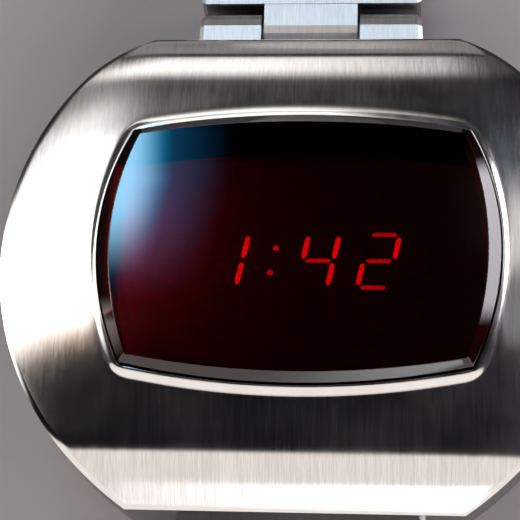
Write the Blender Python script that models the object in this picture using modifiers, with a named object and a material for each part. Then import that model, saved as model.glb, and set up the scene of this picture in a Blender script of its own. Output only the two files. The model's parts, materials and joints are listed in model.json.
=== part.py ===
"""A digital wristwatch with a red light-emitting display, on a steel link bracelet that lies flat and open.

Metres, with +Z out of the dial, +Y towards 12 o'clock and +X towards the button's side.
The origin is the centre of the case back's lower face, on which the watch rests.
"""

import math

import bmesh
import bpy
from mathutils import Matrix, Vector

MM = 0.001

# Case
CASE_RADIUS = 20.6 * MM
CASE_END = 17.35 * MM  # the ends at 12 and 6 o'clock are flat
FRONT_HEIGHT = 12.4 * MM  # the front's highest point, beside the crystal
FRONT_RADIUS = 58 * MM  # the front is rolled about the X axis
END_FALL_FROM = 12.8 * MM
END_FALL = 60  # extra drop per metre squared beyond END_FALL_FROM
SIDE_FALL_FROM = 10 * MM
SIDE_FALL = 19.6
EDGE_WIDTH = 0.32 * MM  # polished edge between the front and the flank
EDGE_DROP = 0.17 * MM
FLANK_INSETS = ((0, 5.0), (0.25, 3.2), (0.9, 1.7), (1.8, 0.7), (2.6, 0.25))  # millimetres in, and height
CAVITY_RADIUS = 14.6 * MM
CAVITY_END = 11 * MM
CAVITY_TOP = 9 * MM
CAVITY_FLOOR = 2 * MM
LEDGE_TOP = 10 * MM

# Crystal: a barrel outline with sharp corners
CRYSTAL_CORNER = (11.5 * MM, 8.36 * MM)
CRYSTAL_BULGE = (1.95 * MM, 1.2 * MM)  # of its sides, and of its top and bottom
CRYSTAL_RISE = 0.78 * MM
CRYSTAL_TOP_CORNER = (11.08 * MM, 7.94 * MM)  # of its top face, inside the sloping edge
CRYSTAL_TOP_BULGE = (1.5 * MM, 1.0 * MM)
CRYSTAL_EDGE_SLOPE = 0.75
CRYSTAL_BASE = 10.6 * MM
CRYSTAL_GAP = 0.1 * MM
PART_GAP = 0.1 * MM  # between a part and what it rests on
LIP_PROFILE = ((0, 0.2), (0.05, 0.246), (0.4, 0.14), (0.75, 0.034), (1.5, 0))  # millimetres out, and up
LIP_SIDE_SHARE = 0.72  # how much narrower the lip is at the crystal's left and right
WINDOW_INSET = 1.4 * MM
SIDE_POINTS = 16
END_POINTS = 12

# Back
BACK_RADIUS = 17 * MM
BACK_END = 11.5 * MM
BACK_THICKNESS = 1.4 * MM
BACK_GAP = 0.2 * MM
SCREW_CIRCLE = 15.7 * MM
SCREW_ANGLE = math.radians(35)
SCREW_HEAD = 0.95 * MM
SCREW_HEAD_TOP = 0.65 * MM
SCREW_SHANK = 0.45 * MM
SCREW_TIP = 4 * MM
HATCH_X = 7 * MM
HATCH_RADIUS = 6.15 * MM
HATCH_BOSS = 5.1 * MM
HATCH_HOLE = 5.9 * MM
HATCH_TAB = 6.45 * MM
HATCH_THICKNESS = 0.8 * MM

# Module
MODULE_RADIUS = 14.2 * MM
MODULE_END = 10.6 * MM
CELL_RADIUS = 5.8 * MM
CELL_LOW = 1.9 * MM
CELL_HIGH = 5.9 * MM
BOARD_LOW = 6.4 * MM
BOARD_HIGH = 6.9 * MM
DIGIT_HEIGHT = 3.7 * MM
DIGIT_WIDTH = 2.3 * MM
DIGIT_SLANT = math.tan(math.radians(12))
SEGMENT = 0.36 * MM
SEGMENT_GAP = 0.05 * MM
TILE = (3.3 * MM, 4.7 * MM, 0.3 * MM)
TILE_LOW = 7.8 * MM
DIGIT_PLACES = {
    "hours_tens_digit": -9.1 * MM,
    "hours_units_digit": -5.0 * MM,
    "minutes_tens_digit": 1.25 * MM,
    "minutes_units_digit": 5.4 * MM,
}
COLON_X = -1.85 * MM
COLON_Y = 0.8 * MM
BAR_TOP = 0.5 * MM  # above the tile's foot

CHIPS = (
    ("logic_chip", (-6 * MM, 5 * MM), (0, 9 * MM)),
    ("driver_chip", (-5 * MM, -9 * MM), (2 * MM, -5 * MM)),
)
QUARTZ_RADIUS = 0.5 * MM
QUARTZ_X = (2 * MM, 8 * MM)
QUARTZ_Y = 7 * MM
QUARTZ_Z = 7.5 * MM
TRIMMER = (6.5 * MM, -7 * MM)
REEDS = {
    "command_switch": (12.6 * MM, 0),
    "hour_set_switch": (-12.6 * MM, 3.3 * MM),
    "minute_set_switch": (-12.6 * MM, -3.3 * MM),
}
REED_Z = 7.75 * MM

# Button
BUTTON_X = 19.4 * MM  # where its flange meets the pushed end
BUTTON_Z = 6 * MM
BUTTON_LENGTH = 2 * MM
BUTTON_RADIUS = 1.5 * MM
BUTTON_FLANGE = 1.9 * MM
BUTTON_SPRING = 1.6 * MM
COLLAR_RADIUS = 2.3 * MM

# Bracelet
LINK_THICKNESS = 3.2 * MM
PIVOT_Z = LINK_THICKNESS / 2
PIVOT_Y = 14.6 * MM
END_LINK_PITCH = 7 * MM
LINK_PITCH = 9.8 * MM
LINK_COUNT = 5
LINK_WIDTH = 17.6 * MM
LINK_TAPER = 0.4 * MM  # narrower at each hinge
LINK_CLEARANCE = 1.9 * MM  # from a hinge's axis to the flat beside it
KNUCKLE_RADIUS = 1.55 * MM
KNUCKLE_SHARE = 0.42  # of the link's half width
PIN_RADIUS = 0.6 * MM
PIN_CLEARANCE = 0.1 * MM
BAR_RADIUS = 0.75 * MM
BAR_REACH = 9.8 * MM
SLOT_WIDTH = 18.2 * MM
SLOT_CEILING = 3.55 * MM
SLOT_WALL = 12.7 * MM
LADDER_LENGTH = 17 * MM
CLASP_LENGTH = 22 * MM
COVER_WIDTH = 15 * MM

# Colour, metallic, roughness
FINISHES = {
    "brushed_steel": ((0.55, 0.54, 0.53), 1, 0.32),
    "polished_steel": ((0.68, 0.68, 0.69), 1, 0.08),
    "crystal_red": ((0.12, 0.004, 0.006), 0, 0.04),
    "black": ((0.012, 0.012, 0.013), 0, 0.5),
    "ceramic": ((0.05, 0.012, 0.012), 0, 0.4),
    "led_red": ((0.8, 0.01, 0.01), 0, 0.3),
    "board_green": ((0.02, 0.16, 0.07), 0, 0.4),
    "rubber": ((0.02, 0.02, 0.02), 0, 0.8),
    "gold": ((0.83, 0.61, 0.25), 1, 0.25),
    "glass": ((0.75, 0.85, 0.8), 0, 0.05),
    "magnet": ((0.35, 0.35, 0.37), 1, 0.3),
}


def spread(first, last, count):
    """count numbers from first to last, both of them included."""
    return [first + (last - first) * i / (count - 1) for i in range(count)]


# Outlines in (x, y), anticlockwise. Each half is followed by itself turned by 180 degrees.


def both_halves(half):
    return half + [(-x, -y) for x, y in half]


def truncated_circle(radius, end):
    """A circle cut off flat at y = end and y = -end."""
    angle = math.asin(end / radius)
    corner = radius * math.cos(angle)
    side = [(radius * math.cos(a), radius * math.sin(a)) for a in spread(-angle, angle, SIDE_POINTS + 1)]
    top = [(x, end) for x in spread(corner, -corner, END_POINTS + 1)]
    return both_halves(side[:-1] + top[:-1])


def bulged_edge(start, end, bulge, count):
    """count points of the arc from start towards end, bulging outwards, without the end itself."""
    half_chord = math.dist(start, end) / 2
    radius = (half_chord**2 + bulge**2) / (2 * bulge)
    angle = math.asin(half_chord / radius)
    along = (Vector(end) - Vector(start)).normalized()
    outward = Vector((along.y, -along.x))
    middle = (Vector(start) + Vector(end)) / 2
    points = []
    for a in spread(-angle, angle, count + 1)[:-1]:
        point = middle + along * radius * math.sin(a) + outward * (radius * math.cos(a) - radius + bulge)
        points.append(tuple(point))
    return points


def barrel(offset, corner=CRYSTAL_CORNER, bulge=CRYSTAL_BULGE, sideways=1.0):
    """The crystal's outline, grown by offset, and by sideways times as much to the left and right."""
    x = corner[0] + offset * sideways
    y = corner[1] + offset
    side = bulged_edge((x, -y), (x, y), bulge[0], SIDE_POINTS)
    top = bulged_edge((x, y), (-x, y), bulge[1], END_POINTS)
    return both_halves(side + top)


def front(x, y):
    """Height of the case's front surface."""
    end_fall = END_FALL * max(0, abs(y) - END_FALL_FROM) ** 2
    side_fall = SIDE_FALL * max(0, abs(x) - SIDE_FALL_FROM) ** 2
    return FRONT_HEIGHT - y * y / (2 * FRONT_RADIUS) - end_fall - side_fall


def level(outline, height):
    return [(x, y, height) for x, y in outline]


def on_front(outline, rise):
    return [(x, y, front(x, y) + rise) for x, y in outline]


def between(inner, outer, share):
    return [(a + (c - a) * share, b + (d - b) * share) for (a, b), (c, d) in zip(inner, outer)]


# Objects


def clear_scene():
    for item in list(bpy.data.objects):
        bpy.data.objects.remove(item, do_unlink=True)


def collection(name):
    made = bpy.data.collections.new(name)
    bpy.context.scene.collection.children.link(made)
    return made


def make_materials():
    for name, (colour, metallic, roughness) in FINISHES.items():
        made = bpy.data.materials.new(name)
        made.use_nodes = True
        shader = made.node_tree.nodes["Principled BSDF"]
        shader.inputs["Base Color"].default_value = (*colour, 1)
        shader.inputs["Metallic"].default_value = metallic
        shader.inputs["Roughness"].default_value = roughness
    shader = bpy.data.materials["led_red"].node_tree.nodes["Principled BSDF"]
    shader.inputs["Emission Color"].default_value = (1, 0.02, 0.01, 1)
    shader.inputs["Emission Strength"].default_value = 2


def add(name, shape, finish, parent=None, location=(0, 0, 0), turn=0):
    """Puts a bmesh in the watch's collection as an object, turned about Z."""
    mesh = bpy.data.meshes.new(name)
    shape.to_mesh(mesh)
    shape.free()
    mesh.materials.append(bpy.data.materials[finish])
    mesh.shade_smooth()
    mesh.set_sharp_from_angle(angle=math.radians(30))
    item = bpy.data.objects.new(name, mesh)
    WATCH.objects.link(item)
    item.parent = parent
    item.location = location
    item.rotation_euler = (0, 0, turn)
    return item


def as_tool(item):
    """Moves an object to the cutters, where it isn't rendered."""
    WATCH.objects.unlink(item)
    CUTTERS.objects.link(item)
    item.hide_render = True
    item.display_type = "WIRE"
    return item


def combine(item, tool, operation):
    """Adds a Boolean whose tool is in the item's own coordinates."""
    as_tool(tool)
    tool.parent = item
    modifier = item.modifiers.new(f"{operation.lower()} {tool.name}", "BOOLEAN")
    modifier.operation = operation
    modifier.object = tool
    modifier.solver = "EXACT"


def cut(item, shape):
    combine(item, add(f"{item.name}_cutter", shape, "black"), "DIFFERENCE")


def join(item, shape):
    combine(item, add(f"{item.name}_joined", shape, "black"), "UNION")


# Shapes


def box(low, high):
    shape = bmesh.new()
    size = [b - a for a, b in zip(low, high)]
    middle = [(a + b) / 2 for a, b in zip(low, high)]
    bmesh.ops.create_cube(shape, size=1, matrix=Matrix.Translation(middle) @ Matrix.Diagonal((*size, 1)))
    return shape


def bevelled_box(low, high, width):
    shape = box(low, high)
    bmesh.ops.bevel(shape, geom=shape.edges[:], offset=width, segments=1, affect="EDGES")
    return shape


def cylinder(radius, low, high, sides=24):
    """A cylinder from the point low to the point high, which differ along one axis."""
    shape = bmesh.new()
    along = [b - a for a, b in zip(low, high)]
    length = math.hypot(*along)
    middle = Matrix.Translation([(a + b) / 2 for a, b in zip(low, high)])
    turned = Matrix()
    if along[0]:
        turned = Matrix.Rotation(math.pi / 2, 4, "Y")
    elif along[1]:
        turned = Matrix.Rotation(math.pi / 2, 4, "X")
    sizes = {"radius1": radius, "radius2": radius, "depth": length, "segments": sides}
    bmesh.ops.create_cone(shape, cap_ends=True, matrix=middle @ turned, **sizes)
    return shape


def merged(*shapes):
    """Several separate shapes in one mesh, to cut with all at once."""
    whole = bmesh.new()
    for shape in shapes:
        mesh = bpy.data.meshes.new("piece")
        shape.to_mesh(mesh)
        shape.free()
        whole.from_mesh(mesh)
        bpy.data.meshes.remove(mesh)
    return whole


def loft(rings, is_tube=False):
    """A skin over rings of points with equal counts.

    A tube's last ring joins its first. Otherwise the ends are capped.
    """
    shape = bmesh.new()
    loops = [[shape.verts.new(point) for point in ring] for ring in rings]
    pairs = list(zip(loops, loops[1:]))
    if is_tube:
        pairs.append((loops[-1], loops[0]))
    for lower, upper in pairs:
        for i in range(len(lower)):
            shape.faces.new((lower[i - 1], lower[i], upper[i], upper[i - 1]))
    if not is_tube:
        shape.faces.new(loops[0])
        shape.faces.new(loops[-1])
    bmesh.ops.recalc_face_normals(shape, faces=shape.faces)
    return shape


def frame_ring(outer, inner, low, high):
    """A flat ring between two outlines."""
    return loft([level(outer, low), level(outer, high), level(inner, high), level(inner, low)], is_tube=True)


def turned(name, profile, finish, steps=20, **placed):
    """A solid turned about its own Z axis, from (radius, height) points running from top to bottom."""
    shape = bmesh.new()
    points = [shape.verts.new((radius, 0, height)) for radius, height in profile]
    for a, b in zip(points, points[1:]):
        shape.edges.new((a, b))
    item = add(name, shape, finish, **placed)
    screw = item.modifiers.new("turn", "SCREW")
    screw.steps = steps
    screw.render_steps = steps
    screw.use_merge_vertices = True
    screw.merge_threshold = 0.001 * MM
    return item


def ring_about(axis, profile, sides, centre=(0, 0, 0)):
    """A turned ring from a closed profile of (radius, place along the axis); axis 0 is X and 2 is Z."""
    rings = []
    for radius, place in profile:
        ring = []
        for a in spread(0, 2 * math.pi, sides + 1)[:-1]:
            across = (radius * math.cos(a), radius * math.sin(a))
            point = (place, *across) if axis == 0 else (*across, place)
            ring.append([c + d for c, d in zip(centre, point)])
        rings.append(ring)
    return loft(rings, is_tube=True)


# Case and crystal


def make_case():
    lip = barrel(CRYSTAL_GAP)
    edge = truncated_circle(CASE_RADIUS - EDGE_WIDTH, CASE_END - EDGE_WIDTH)
    outside = truncated_circle(CASE_RADIUS, CASE_END)
    rings = []
    for out, rise in LIP_PROFILE:
        offset = CRYSTAL_GAP + out * MM
        sideways = (CRYSTAL_GAP + out * LIP_SIDE_SHARE * MM) / offset
        foot = barrel(offset, sideways=sideways)
        rings.append(on_front(foot, rise * MM))
    for share in spread(0, 1, 7)[1:]:
        rings.append(on_front(between(foot, edge, share), 0))
    rings.append([(x, y, z - EDGE_DROP) for (x, y), (_, _, z) in zip(outside, rings[-1])])
    for inset, height in FLANK_INSETS:
        rings.append(level(truncated_circle(CASE_RADIUS - inset * MM, CASE_END - inset * MM), height * MM))
    rebate = truncated_circle(BACK_RADIUS + BACK_GAP, BACK_END + BACK_GAP)
    cavity = truncated_circle(CAVITY_RADIUS, CAVITY_END)
    window = barrel(-WINDOW_INSET)
    rings.append(level(rebate, FLANK_INSETS[-1][1] * MM))
    rings.append(level(rebate, CAVITY_FLOOR))
    rings.append(level(cavity, CAVITY_FLOOR))
    rings.append(level(cavity, CAVITY_TOP))
    rings.append(level(window, CAVITY_TOP))
    rings.append(level(window, LEDGE_TOP))
    rings.append(level(lip, LEDGE_TOP))
    case = add("case_body", loft(rings, is_tube=True), "brushed_steel")
    for side in (1, -1):
        near = side * SLOT_WALL
        far = side * (CASE_END + 3 * MM)
        half = SLOT_WIDTH / 2
        cut(case, box((-half, min(near, far), -MM), (half, max(near, far), SLOT_CEILING)))
        reach = BAR_REACH + 0.2 * MM
        bar_y = side * PIVOT_Y
        ends = [(x, bar_y, PIVOT_Z) for x in (-reach, reach)]
        cut(case, cylinder(BAR_RADIUS + PIN_CLEARANCE, *ends, 16))
    cut(case, screw_holes(SCREW_SHANK + PIN_CLEARANCE, MM, SCREW_TIP + 0.3 * MM, 10))
    along_button = [(x * MM, 0, BUTTON_Z) for x in (15.9, 18.7, 19, 23)]
    cut(case, cylinder(BUTTON_FLANGE + 0.15 * MM, along_button[0], along_button[2]))
    cut(case, cylinder(COLLAR_RADIUS + PIN_CLEARANCE, along_button[1], along_button[3]))


def make_crystal():
    side = barrel(0)
    top_edge = barrel(0, CRYSTAL_TOP_CORNER, CRYSTAL_TOP_BULGE)
    top = FRONT_HEIGHT + CRYSTAL_RISE

    def domed(points):
        return [(x, y, top - y * y / (2 * FRONT_RADIUS)) for x, y in points]

    slope_foot = []
    for (x, y), (inner_x, inner_y, height) in zip(side, domed(top_edge)):
        run = max(abs(x - inner_x), abs(y - inner_y))
        slope_foot.append((x, y, height - CRYSTAL_EDGE_SLOPE * run))
    rings = [level(side, CRYSTAL_BASE), slope_foot]
    for share in (1, 0.8, 0.6, 0.4, 0.2, 0.05):
        rings.append(domed([(x * share, y * share) for x, y in top_edge]))
    add("crystal", loft(rings), "crystal_red")
    outer = barrel(-CRYSTAL_GAP)
    inner = barrel(-WINDOW_INSET + 0.2 * MM)
    seat = frame_ring(outer, inner, LEDGE_TOP + PART_GAP, CRYSTAL_BASE - PART_GAP)
    add("crystal_gasket", seat, "rubber")


# Back


def screw_places():
    x = SCREW_CIRCLE * math.cos(SCREW_ANGLE)
    y = SCREW_CIRCLE * math.sin(SCREW_ANGLE)
    return [(x, y), (-x, y), (-x, -y), (x, -y)]


def screw_holes(radius, low, high, sides):
    return merged(*[cylinder(radius, (x, y, low), (x, y, high), sides) for x, y in screw_places()])


def make_back():
    chamfer = 0.3 * MM
    outline = truncated_circle(BACK_RADIUS, BACK_END)
    foot = truncated_circle(BACK_RADIUS - chamfer, BACK_END - chamfer)
    plate = loft([level(foot, 0), level(outline, chamfer), level(outline, BACK_THICKNESS)])
    back = add("case_back", plate, "brushed_steel")
    below = -MM
    above = BACK_THICKNESS + MM
    for side in (1, -1):
        x = side * HATCH_X
        notch = (1.7 * MM, HATCH_TAB + 0.3 * MM)
        recess = HATCH_THICKNESS + 0.15 * MM
        cut(back, cylinder(HATCH_RADIUS + 0.15 * MM, (x, 0, below), (x, 0, recess), 28))
        cut(back, cylinder(HATCH_HOLE, (x, 0, 0), (x, 0, above), 28))
        cut(back, box((x - notch[0], -notch[1], 0.1 * MM), (x + notch[0], notch[1], above)))
    cut(back, screw_holes(SCREW_SHANK + 0.15 * MM, below, above, 10))
    cut(back, screw_holes(SCREW_HEAD + PIN_CLEARANCE, below, SCREW_HEAD_TOP + PART_GAP, 16))
    ring_out = truncated_circle(CAVITY_RADIUS + 0.45 * MM, CAVITY_END + 0.4 * MM)
    ring_in = truncated_circle(CAVITY_RADIUS + 0.05 * MM, CAVITY_END + 0.1 * MM)
    gasket = frame_ring(ring_out, ring_in, BACK_THICKNESS + PART_GAP, CAVITY_FLOOR - PART_GAP)
    add("back_gasket", gasket, "rubber")
    for number, (x, y) in enumerate(screw_places(), 1):
        make_screw(f"back_screw_{number}", x, y)


def make_screw(name, x, y):
    head_low = 0.12 * MM
    profile = [
        (0, SCREW_TIP),
        (SCREW_SHANK, SCREW_TIP),
        (SCREW_SHANK, SCREW_HEAD_TOP),
        (SCREW_HEAD, SCREW_HEAD_TOP),
        (SCREW_HEAD, head_low + 0.15 * MM),
        (SCREW_HEAD - 0.15 * MM, head_low),
        (0, head_low),
    ]
    screw = turned(name, profile, "polished_steel", steps=16, location=(x, y, 0))
    cut(screw, box((-0.15 * MM, -2 * MM, -MM), (0.15 * MM, 2 * MM, head_low + 0.25 * MM)))


def make_hatch(side, word):
    """A quarter-turn battery hatch. Its tabs lie along X when locked, and the back's notches along Y."""
    profile = [
        (0, 1.75 * MM),
        (HATCH_BOSS, 1.75 * MM),
        (HATCH_BOSS, HATCH_THICKNESS),
        (HATCH_RADIUS, HATCH_THICKNESS),
        (HATCH_RADIUS, 0.2 * MM),
        (HATCH_RADIUS - 0.2 * MM, 0),
        (0, 0),
    ]
    x = side * HATCH_X
    hatch = turned(f"battery_hatch_{word}", profile, "brushed_steel", steps=28, location=(x, 0, 0))
    join(hatch, box((-HATCH_TAB, -1.4 * MM, 1.52 * MM), (HATCH_TAB, 1.4 * MM, 1.7 * MM)))
    cut(hatch, box((-4.5 * MM, -0.6 * MM, -MM), (4.5 * MM, 0.6 * MM, 0.5 * MM)))
    seal_in = HATCH_BOSS + PART_GAP
    seal_out = HATCH_HOLE - 0.12 * MM
    seal_low = HATCH_THICKNESS + PART_GAP
    seal_high = BACK_THICKNESS - PART_GAP
    profile = [(seal_in, seal_low), (seal_out, seal_low), (seal_out, seal_high), (seal_in, seal_high)]
    add(f"hatch_seal_{word}", ring_about(2, profile, 28), "rubber", location=(x, 0, 0))


# Module


def make_module():
    outline = truncated_circle(MODULE_RADIUS, MODULE_END)
    frame = add("module_frame", loft([level(outline, 2.2 * MM), level(outline, CELL_HIGH)]), "black")
    wells = []
    for x in (HATCH_X, -HATCH_X):
        wells.append(cylinder(CELL_RADIUS + 0.15 * MM, (x, 0, MM), (x, 0, 8 * MM), 24))
    cut(frame, merged(*wells))
    board = truncated_circle(MODULE_RADIUS - 0.2 * MM, MODULE_END - 0.2 * MM)
    add("circuit_board", loft([level(board, BOARD_LOW), level(board, BOARD_HIGH)]), "board_green")
    for side, word in ((1, "right"), (-1, "left")):
        make_cell(side, word)
        make_hatch(side, word)
    chip_low = BOARD_HIGH + 0.15 * MM
    for name, low, high in CHIPS:
        chip = bevelled_box((*low, chip_low), (*high, chip_low + MM), 0.1 * MM)
        add(name, chip, "black")
    quartz = [(x, QUARTZ_Y, QUARTZ_Z) for x in QUARTZ_X]
    add("quartz_can", cylinder(QUARTZ_RADIUS, *quartz, 16), "polished_steel")
    make_trimmer(*TRIMMER, chip_low)
    for name, (x, y) in REEDS.items():
        make_reed(name, x, y)


def make_cell(side, word):
    cap = CELL_RADIUS - 0.9 * MM
    profile = [
        (0, CELL_HIGH),
        (CELL_RADIUS - 0.3 * MM, CELL_HIGH),
        (CELL_RADIUS, CELL_HIGH - 0.3 * MM),
        (CELL_RADIUS, CELL_LOW + 0.5 * MM),
        (cap, CELL_LOW + 0.3 * MM),
        (cap, CELL_LOW),
        (0, CELL_LOW),
    ]
    turned(f"battery_{word}", profile, "polished_steel", steps=24, location=(side * HATCH_X, 0, 0))
    low = (side * HATCH_X - 3.5 * MM, -MM, CELL_HIGH + 0.12 * MM)
    high = (side * HATCH_X + 3.5 * MM, MM, BOARD_LOW - 0.12 * MM)
    add(f"battery_contact_{word}", box(low, high), "gold")


def make_trimmer(x, y, low):
    half = 1.3 * MM
    block = box((-half, -half, 0), (half, half, 0.9 * MM))
    body = add("trimmer_body", block, "ceramic", location=(x, y, low))
    cut(body, cylinder(MM, (0, 0, 0.4 * MM), (0, 0, 2 * MM), 20))
    profile = [(0, 0.3 * MM), (0.9 * MM, 0.3 * MM), (0.9 * MM, 0), (0, 0)]
    rotor = turned("trimmer_rotor", profile, "gold", steps=20, location=(x, y, low + 0.55 * MM))
    cut(rotor, box((-0.6 * MM, -0.12 * MM, 0.15 * MM), (0.6 * MM, 0.12 * MM, MM)))


def make_reed(name, x, y):
    """A reed switch lying along Y: a glass tube with a lead out of each end."""
    lead = 0.15 * MM
    tube = 0.6 * MM
    profile = [(0, 3 * MM), (lead, 3 * MM), (lead, 2.3 * MM), (tube, 1.9 * MM)]
    profile += [(radius, -height) for radius, height in reversed(profile)]
    reed = turned(name, profile, "glass", steps=12, location=(x, y, REED_Z))
    reed.rotation_euler = (math.pi / 2, 0, 0)


# Display


def make_display():
    outer = truncated_circle(MODULE_RADIUS, MODULE_END)
    inner = barrel(-WINDOW_INSET - 0.6 * MM)
    add("display_mask", frame_ring(outer, inner, 8.5 * MM, 8.8 * MM), "black")
    board_low = (-11.3 * MM, -2.7 * MM, 7.1 * MM)
    board_high = (11.3 * MM, 2.7 * MM, 7.6 * MM)
    add("display_board", bevelled_box(board_low, board_high, 0.05 * MM), "ceramic")
    for name, x in DIGIT_PLACES.items():
        make_digit(name, x)
    dot = SEGMENT * 0.6
    tile = box((-0.7 * MM, -TILE[1] / 2, 0), (0.7 * MM, TILE[1] / 2, TILE[2]))
    colon = add("colon", tile, "led_red", location=(COLON_X, 0, TILE_LOW))
    dots = []
    for y in (COLON_Y, -COLON_Y):
        x = y * DIGIT_SLANT
        dots.append(cylinder(dot, (x, y, TILE[2] / 2), (x, y, BAR_TOP), 12))
    join(colon, merged(*dots))
    sensor_high = (10.2 * MM, 0.8 * MM, TILE_LOW + BAR_TOP)
    sensor = bevelled_box((8.6 * MM, -0.8 * MM, TILE_LOW), sensor_high, 0.1 * MM)
    add("light_sensor", sensor, "glass")


def segment(centre, is_upright):
    """One bar of a digit, slanted, on the tile."""
    trim = 2 * SEGMENT + 2 * SEGMENT_GAP
    half_x = SEGMENT / 2 if is_upright else (DIGIT_WIDTH - trim) / 2
    half_y = ((DIGIT_HEIGHT - SEGMENT) / 2 - trim + SEGMENT) / 2 if is_upright else SEGMENT / 2
    x, y = centre
    shape = box((x - half_x, y - half_y, TILE[2] / 2), (x + half_x, y + half_y, BAR_TOP))
    for vertex in shape.verts:
        vertex.co.x += vertex.co.y * DIGIT_SLANT
    return shape


def make_digit(name, x):
    half = DIGIT_WIDTH / 2 - SEGMENT / 2
    top = DIGIT_HEIGHT / 2 - SEGMENT / 2
    bars = [segment((0, y), False) for y in (top, 0, -top)]
    bars += [segment((side * half, y), True) for side in (1, -1) for y in (top / 2, -top / 2)]
    tile = box((-TILE[0] / 2, -TILE[1] / 2, 0), (TILE[0] / 2, TILE[1] / 2, TILE[2]))
    digit = add(name, tile, "led_red", location=(x, 0, TILE_LOW))
    join(digit, merged(*bars))


# Button


def make_button():
    """The pushed end with a flange that the collar holds in, and the magnet on it.

    Pushed in, the magnet works a reed switch through the case's wall.
    """
    edge = 0.3 * MM
    flange = 0.5 * MM
    profile = [
        (0, BUTTON_LENGTH),
        (BUTTON_RADIUS - edge, BUTTON_LENGTH),
        (BUTTON_RADIUS, BUTTON_LENGTH - edge),
        (BUTTON_RADIUS, 0),
        (BUTTON_FLANGE, 0),
        (BUTTON_FLANGE, -flange),
        (0, -flange),
    ]
    place = (BUTTON_X, 0, BUTTON_Z)
    button = turned("command_button", profile, "polished_steel", steps=24, location=place)
    button.rotation_euler = (0, math.pi / 2, 0)
    magnet = cylinder(1.1 * MM, (17.2 * MM, 0, BUTTON_Z), (18.78 * MM, 0, BUTTON_Z), 16)
    add("button_magnet", magnet, "magnet")
    bore_radius = BUTTON_RADIUS + PIN_CLEARANCE
    collar = [
        (bore_radius, 0.15 * MM),
        (COLLAR_RADIUS, 0.15 * MM),
        (COLLAR_RADIUS, 1.35 * MM),
        (COLLAR_RADIUS - 0.45 * MM, 1.55 * MM),
        (bore_radius, 1.4 * MM),
    ]
    add("button_collar", ring_about(0, collar, 24, place), "polished_steel")
    make_button_spring()


def make_button_spring():
    turns = 4
    per_turn = 10
    low = 16.15 * MM
    high = 18.6 * MM
    curve = bpy.data.curves.new("button_spring", "CURVE")
    curve.dimensions = "3D"
    curve.bevel_depth = 0.14 * MM
    curve.bevel_resolution = 1
    curve.use_fill_caps = True
    path = curve.splines.new("POLY")
    path.points.add(turns * per_turn)
    for i, point in enumerate(path.points):
        angle = 2 * math.pi * i / per_turn
        x = low + (high - low) * i / (turns * per_turn)
        point.co = (x, BUTTON_SPRING * math.cos(angle), BUTTON_Z + BUTTON_SPRING * math.sin(angle), 1)
    curve.materials.append(bpy.data.materials["polished_steel"])
    WATCH.objects.link(bpy.data.objects.new("button_spring", curve))


# Bracelet. Each piece is drawn from its inner hinge at the origin towards its outer end along +Y.


def half_width(hinge):
    return (LINK_WIDTH - LINK_TAPER * hinge) / 2


def knuckle_width(hinge):
    return half_width(hinge) * KNUCKLE_SHARE


def side_prism(outline, half):
    """A prism along X from an outline in (y, z)."""
    return loft([[(x, y, z) for y, z in outline] for x in (-half, half)])


def round_end(y, z, radius, first, last):
    """Points of an arc in (y, z), its angles counted from +Y towards +Z."""
    angles = spread(math.radians(first), math.radians(last), 9)
    return [(y + radius * math.cos(a), z + radius * math.sin(a)) for a in angles]


def link_body(pitch, inner_half, outer_half):
    """A tapering bar from beside the inner hinge to a round end about the outer one, with bevelled sides."""
    bevel = 0.35 * MM
    rings = []
    for side in (-1, 1):
        insets = (bevel, 0) if side < 0 else (0, bevel)
        for inset in insets:
            radius = LINK_THICKNESS / 2 - inset
            start = LINK_CLEARANCE + inset
            outline = [(start, -radius), *round_end(pitch, 0, radius, -90, 90), (start, radius)]
            ring = []
            for y, z in outline:
                half = inner_half + (outer_half - inner_half) * y / pitch
                ring.append((side * (half - bevel + inset), y, z))
            rings.append(ring)
    return loft(rings)


def knuckle(half, reach=LINK_CLEARANCE + 0.4 * MM):
    """The round inner end of a piece, which turns in the fork before it."""
    outline = [(reach, KNUCKLE_RADIUS), *round_end(0, 0, KNUCKLE_RADIUS, 90, 270), (reach, -KNUCKLE_RADIUS)]
    return side_prism(outline, half)


def bore(radius, half):
    return cylinder(radius + PIN_CLEARANCE, (-half - MM, 0, 0), (half + MM, 0, 0), 16)


def make_link(name, pitch, hinge, inner_knuckle, inner_pin, parent, location, turn=0):
    """A link: a knuckle on the pin before it, and a fork with its own pin pressed in."""
    shape = link_body(pitch, half_width(hinge), half_width(hinge + 1))
    link = add(name, shape, "brushed_steel", parent, location, turn)
    join(link, knuckle(inner_knuckle))
    cut(link, bore(inner_pin, inner_knuckle))
    slot = knuckle_width(hinge + 1) + 0.2 * MM
    reach = LINK_THICKNESS
    cut(link, box((-slot, pitch - LINK_CLEARANCE, -reach), (slot, pitch + reach, reach)))
    pin = half_width(hinge + 1) - 0.6 * MM
    join(link, cylinder(PIN_RADIUS, (-pin, pitch, 0), (pin, pitch, 0), 12))
    return link


def make_strand(side, hour):
    """The links on one side of the case, and the name and pitch of the last one."""
    turn = 0 if side > 0 else math.pi
    ends = [(x, side * PIVOT_Y, PIVOT_Z) for x in (-BAR_REACH, BAR_REACH)]
    add(f"spring_bar_{hour}", cylinder(BAR_RADIUS, *ends, 16), "polished_steel")
    start = (0, side * PIVOT_Y, PIVOT_Z)
    full = half_width(0)
    link = make_link(f"end_link_{hour}", END_LINK_PITCH, 0, full - 0.4 * MM, BAR_RADIUS, None, start, turn)
    pitch = END_LINK_PITCH
    for number in range(1, LINK_COUNT + 1):
        name = f"link_{hour}_{number}"
        link = make_link(name, LINK_PITCH, number, knuckle_width(number), PIN_RADIUS, link, (0, pitch, 0))
        pitch = LINK_PITCH
    return link


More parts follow.
